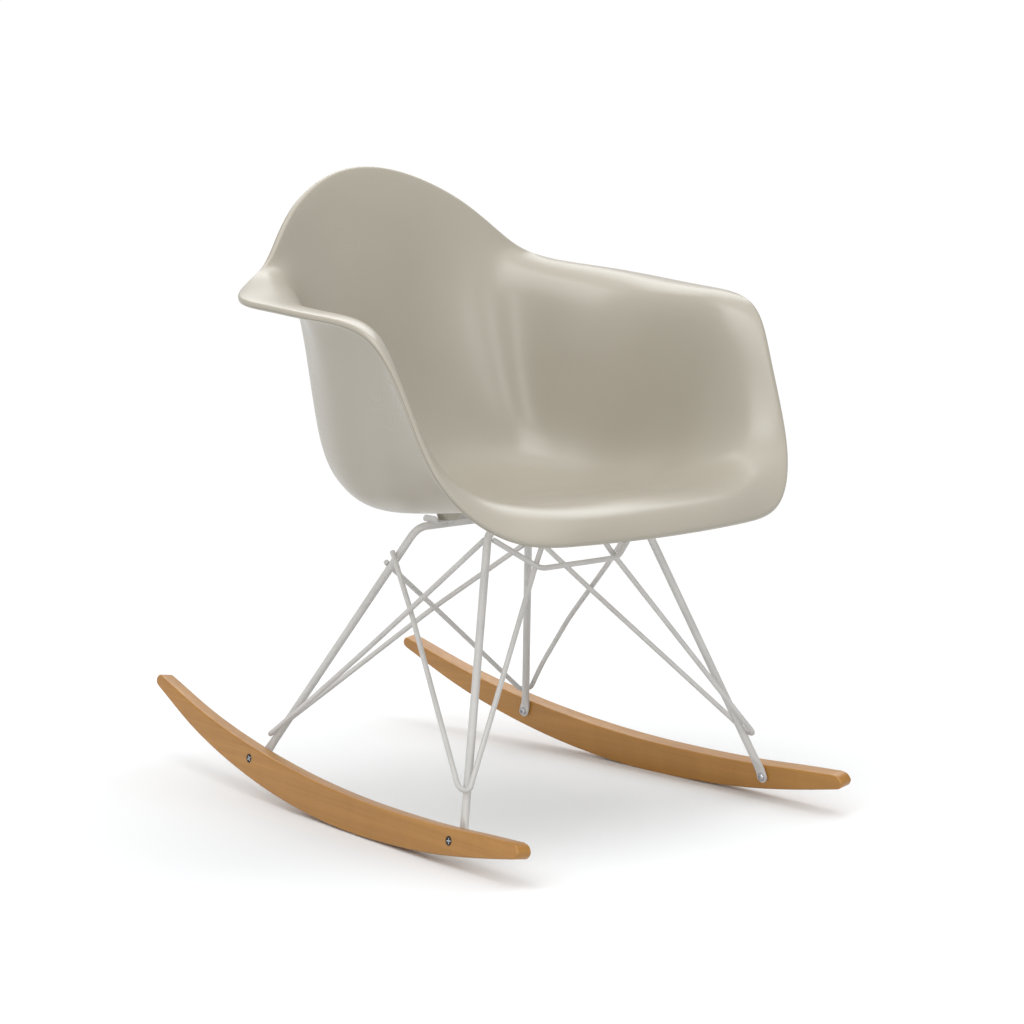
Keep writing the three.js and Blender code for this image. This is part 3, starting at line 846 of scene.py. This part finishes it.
def flushNut():
    profile = [(3.35, -13), (3.9, -13), (3.9, -2.7), (5.4, -2.7), (5.4, -0.35), (5.28, -0.1), (5.05, 0)]
    nut = turned("flushNut", profile, 96, [(cross(3.7, 0.85), -0.05), (cross(3.6, 0.78), -0.25),
                                           (cross(3.3, 0.6), -1.3), (lambda t: 0.01, -1.5)])
    # the driver has rubbed the recess bright
    bright = [float(-2 < v.co.z * 1000 < -0.2 and v.co.xy.length < 0.0037) for v in nut.data.vertices]
    pointAttribute(nut, "rubbed", "FLOAT", bright)
    return nut


# pressed bracket: plate with a rounded outline and a turned-up tab at each end
bracket = {"halfLength": 26, "front": -9, "back": 17, "tab": 7.5, "bend": 2.2, "wall": 2, "corner": 5}


def bracketPlate():
    half, bend, tab = bracket["halfLength"], bracket["bend"], bracket["tab"]
    turns = [math.pi / 2 * k / 6 for k in range(7)]
    end = [(half - bend + bend * math.sin(t), bend - bend * math.cos(t)) for t in turns]
    end += [(half, bend + (tab - bend) * k / 4) for k in range(1, 5)]
    flat = [(x, 0) for x in np.linspace(-half + bend + 1.5, half - bend - 1.5, 15)]
    line = [(-x, z) for x, z in reversed(end)] + flat + end
    low, high, corner = bracket["front"], bracket["back"], bracket["corner"]
    rows = []
    for x, z in line:
        lift = max(z - (tab - corner), 0)
        trim = corner - math.sqrt(max(corner ** 2 - lift ** 2, 0)) if lift else 0
        rows.append([(x / 1000, y / 1000, z / 1000) for y in np.linspace(low + trim, high - trim, 9)])
    points = [p for row in rows for p in row]
    faces = [(i * 9 + j, i * 9 + j + 1, (i + 1) * 9 + j + 1, (i + 1) * 9 + j)
             for i in range(len(rows) - 1) for j in range(8)]
    piece = cleanMesh(addMesh("bracketPlate", points, faces))
    wall = piece.modifiers.new("wall", "SOLIDIFY")
    wall.thickness, wall.offset = bracket["wall"] / 1000, 0
    edges = piece.modifiers.new("edges", "BEVEL")
    edges.width, edges.segments, edges.limit_method = 0.0004, 3, "ANGLE"
    edges.angle_limit = math.radians(50)
    frozen(piece)
    return cleanMesh(piece, 1e-8, 42)


def fitAll(name, places, aims, sideways, fitting, material, slot, nodes):
    piece = addMesh(name, places, [])
    pointAttribute(piece, "aim", "FLOAT_VECTOR", aims)
    pointAttribute(piece, "side", "FLOAT_VECTOR", sideways)
    grow(piece, fittingsTree, fittingSockets, fitting=fitting, size=1.0, finish=material)
    bpy.data.objects.remove(fitting)
    return finishPiece(piece, material, slot, *nodes)


# gaps under a boss and a screw head, and where the bolts' and nuts' heads sit across the board
seats = {"bossGap": 0.3, "headGap": 0.05, "bolt": -4.6, "nut": 19.9}
mountLabels = [f"{end}_{word}" for end in ("front", "rear") for word, _ in sides]
plateMiddle = toFrame([(x, y, foot - seats["bossGap"] - bracket["wall"] / 2) for x, y, foot, _ in bossSpots])
screwSeat = toFrame([(x, y, foot - seats["bossGap"] - bracket["wall"] - seats["headGap"])
                     for x, y, foot, _ in bossSpots])
down, across = [(0, 0, -1)] * 4, [(1, 0, 0)] * 4
fitAll("mountBrackets", plateMiddle, [(0, 0, 1)] * 4, across, bracketPlate(), coat, "frame_steel",
       ["bracket_" + label for label in mountLabels])
fitAll("bracketScrews", screwSeat, down, across, domedHead(5.2, 3.4, 2.5, 11), zinc, "zinc_fasteners",
       ["bracket_screw_" + label for label in mountLabels])

boltPlaces, nutPlaces, outward, turnedTo, boltNodes, nutNodes = [], [], [], [], [], []
for word, side in sides:
    axes = runnerAxes(side)
    for k, (end, along, up) in enumerate(boltSpots):
        boltPlaces.append(toFrame(onRunner(side, (seats["bolt"], along, up))))
        nutPlaces.append(toFrame(onRunner(side, (seats["nut"], along, up))))
        outward.append(axes[0])
        turn = 0.35 + 1.1 * k + 0.5 * side           # no two recesses stop at the same angle
        turnedTo.append(axes[1] * math.cos(turn) + axes[2] * math.sin(turn))
        boltNodes.append(f"runner_bolt_{end}_{word}")
        nutNodes.append(f"sleeve_nut_{end}_{word}")
fitAll("runnerBolts", boltPlaces, [-a for a in outward], turnedTo, domedHead(5.2, 3.2, 3, 19), zinc,
       "zinc_fasteners", boltNodes)
fitAll("sleeveNuts", nutPlaces, outward, turnedTo, flushNut(), blacked, "dark_fasteners", nutNodes)
for label in mountLabels:
    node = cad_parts["insert_" + label]
    node.data.materials.clear()
    node.data.materials.append(zinc)
print("fittings in place")


# studio

def softBox(name, azimuth, elevation, distance, width, height, power, shadow):
    light = bpy.data.lights.new(name, "AREA")
    light.shape = "RECTANGLE"
    light.size, light.size_y = width, height
    light.energy, light.use_shadow = power, shadow
    lamp = bpy.data.objects.new(name, light)
    bpy.context.scene.collection.objects.link(lamp)
    turn, rise = math.radians(azimuth), math.radians(elevation)
    away = Vector((math.sin(turn) * math.cos(rise), -math.cos(turn) * math.cos(rise), math.sin(rise)))
    lamp.location = Vector((0, 0, 0.45)) + away * distance
    lamp.rotation_euler = (-away).to_track_quat("-Z", "Y").to_euler()
    return lamp


studio = {"surround": 0.64, "overhead": 41, "floorWash": 29, "fill": 90, "lowSide": 6, "seatGlow": 70,
          "farStrips": 16, "white": 1.02, "paperFade": (0.8, 1.7)}
chairPieces = [thing for thing in bpy.context.scene.objects if thing.type == "MESH"]
floor = addMesh("studioFloor", [(-30, -30, 0), (30, -30, 0), (30, 30, 0), (-30, 30, 0)], [(0, 1, 2, 3)])
paper = Finish("floorPaper", Roughness=0.9, Specular_IOR_Level=0.0)
paper.use(Base_Color=paper.blendColours(paper.spread(paper.noise(0.8, 2), 0, 1), (0.945, 0.955, 0.965, 1),
                                        (0.955, 0.965, 0.975, 1)))
# the paper fades into the white surround between these distances, in metres
reach = paper.node("ShaderNodeVectorMath", Vector=paper.place)
reach.operation = "LENGTH"
fade = paper.node("ShaderNodeMixShader", Fac=paper.spread(reach.outputs["Value"], 0, 1, *studio["paperFade"]))
haze = paper.node("ShaderNodeEmission", Strength=studio["white"])
wire(paper.tree, paper.surface.outputs[0], fade.inputs[1])
wire(paper.tree, haze.outputs[0], fade.inputs[2])
wire(paper.tree, fade.outputs[0], paper.tree.nodes["Material Output"].inputs["Surface"])
floor.data.materials.append(paper.material)

world = bpy.data.worlds.new("studio")
bpy.context.scene.world = world
world.use_nodes = True
sky = world.node_tree
ground = sky.nodes["Background"]
ground.inputs["Color"].default_value = (1, 1, 1, 1)
ground.inputs["Strength"].default_value = studio["surround"]
white = sky.nodes.new("ShaderNodeBackground")
white.inputs["Strength"].default_value = studio["white"]
path, mix = sky.nodes.new("ShaderNodeLightPath"), sky.nodes.new("ShaderNodeMixShader")
white.inputs["Color"].default_value = (1, 1, 1, 1)
wire(sky, path.outputs["Is Camera Ray"], mix.inputs["Fac"])
wire(sky, ground.outputs[0], mix.inputs[1])
wire(sky, white.outputs[0], mix.inputs[2])
wire(sky, mix.outputs[0], sky.nodes["World Output"].inputs["Surface"])

# azimuth is 0 in front of the chair and 90 on the sitter's left
softBox("overhead", 0, 84, 3, 3.2, 3.2, studio["overhead"], True)
softBox("seatGlow", 140, 46, 4, 3.4, 2.6, studio["seatGlow"], True).visible_diffuse = False
for azimuth in (2, 22, 58):
    strip = softBox(f"farStrip{azimuth}", -azimuth, 12, 4, 0.35, 1.9, studio["farStrips"], False)
    strip.visible_diffuse = False


# a lamp that lights only the given pieces
def lightOnly(lamp, label, pieces):
    lamp.light_linking.receiver_collection = bpy.data.collections.new(label)
    for piece in pieces:
        lamp.light_linking.receiver_collection.objects.link(piece)


base = [piece for piece in chairPieces if not piece.name.startswith("seatShell")]
lightOnly(softBox("fill", -58, 54, 4, 3, 3, studio["fill"], False), "chairOnly", chairPieces)
lightOnly(softBox("lowSide", -80, 8, 4, 3, 1, studio["lowSide"], False), "baseOnly", base)
lightOnly(softBox("floorWashLeft", 80, 50, 3, 3.2, 3.2, studio["floorWash"], True),
          "leftOnFloor", [floor])
lightOnly(softBox("floorWashRight", -100, 50, 3, 3.2, 3.2, studio["floorWash"], True),
          "rightOnFloor", [floor])

view = {"place": (-2441.5, -2850.5, 924.9), "tilt": 81.353, "turn": -40.72, "lens": 110.82}
camera = bpy.data.cameras.new("studioCamera")
camera.lens, camera.sensor_width = view["lens"], 36
camera.clip_end = 200
eye = bpy.data.objects.new("studioCamera", camera)
bpy.context.scene.collection.objects.link(eye)
eye.location = toFrame(view["place"])
eye.rotation_euler = (math.radians(view["tilt"]), 0, math.radians(view["turn"]))
bpy.context.scene.camera = eye
bpy.context.scene.view_settings.view_transform = "Standard"
print("studio lit")
